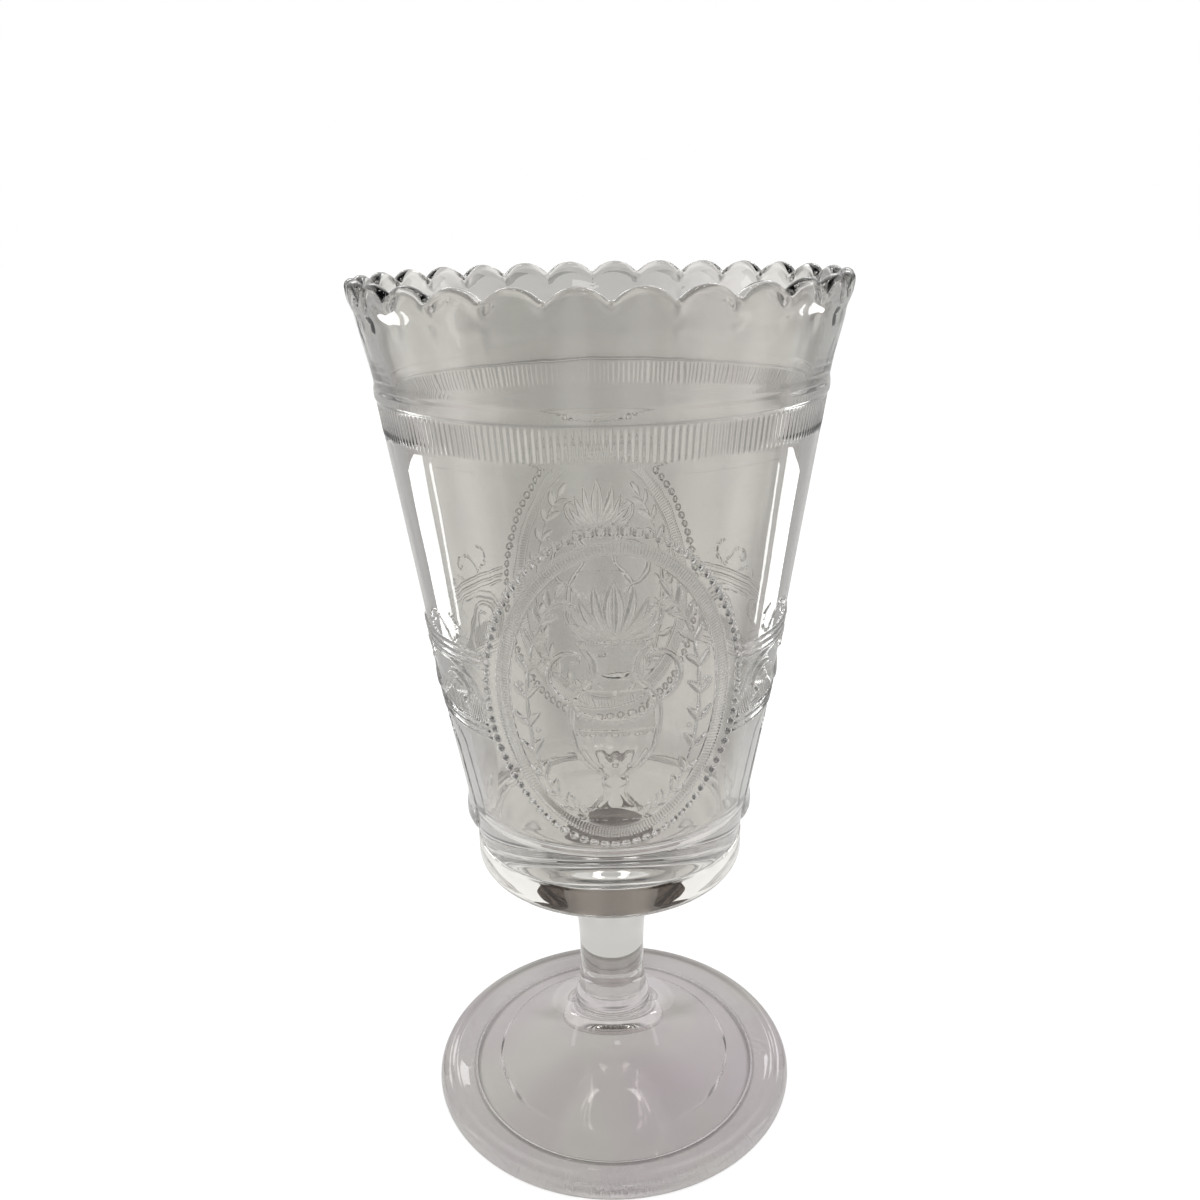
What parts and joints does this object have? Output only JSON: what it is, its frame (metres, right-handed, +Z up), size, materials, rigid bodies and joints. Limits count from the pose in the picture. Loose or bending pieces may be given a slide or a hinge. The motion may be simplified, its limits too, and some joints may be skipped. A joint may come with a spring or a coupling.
{
  "type": "pedestal vase",
  "caption": "Tapered glass vase with a scalloped rim and oval medallions, on a solid stem and a broad hollow foot; holds stems or flowers and stands on its foot ring.",
  "frame": {"origin": "centre of the ring that the foot stands on, at the level of the table", "axes": "+Z up along the axis of the vase, -Y towards the front medallion, +X to the right"},
  "size_m": [0.1084, 0.1084, 0.21],
  "materials": {
    "bowl_glass": "clear pressed glass, fire-polished",
    "stem_glass": "clear pressed glass, fire-polished",
    "wafer_glass": "clear glass, worked hot",
    "foot_glass": "clear pressed glass with a faint amethyst tint"
  },
  "bodies": {
    "root": {"foot": "foot_glass", "joining_wafer": "wafer_glass", "stem": "stem_glass", "bowl": "bowl_glass"}
  },
  "joints": []
}
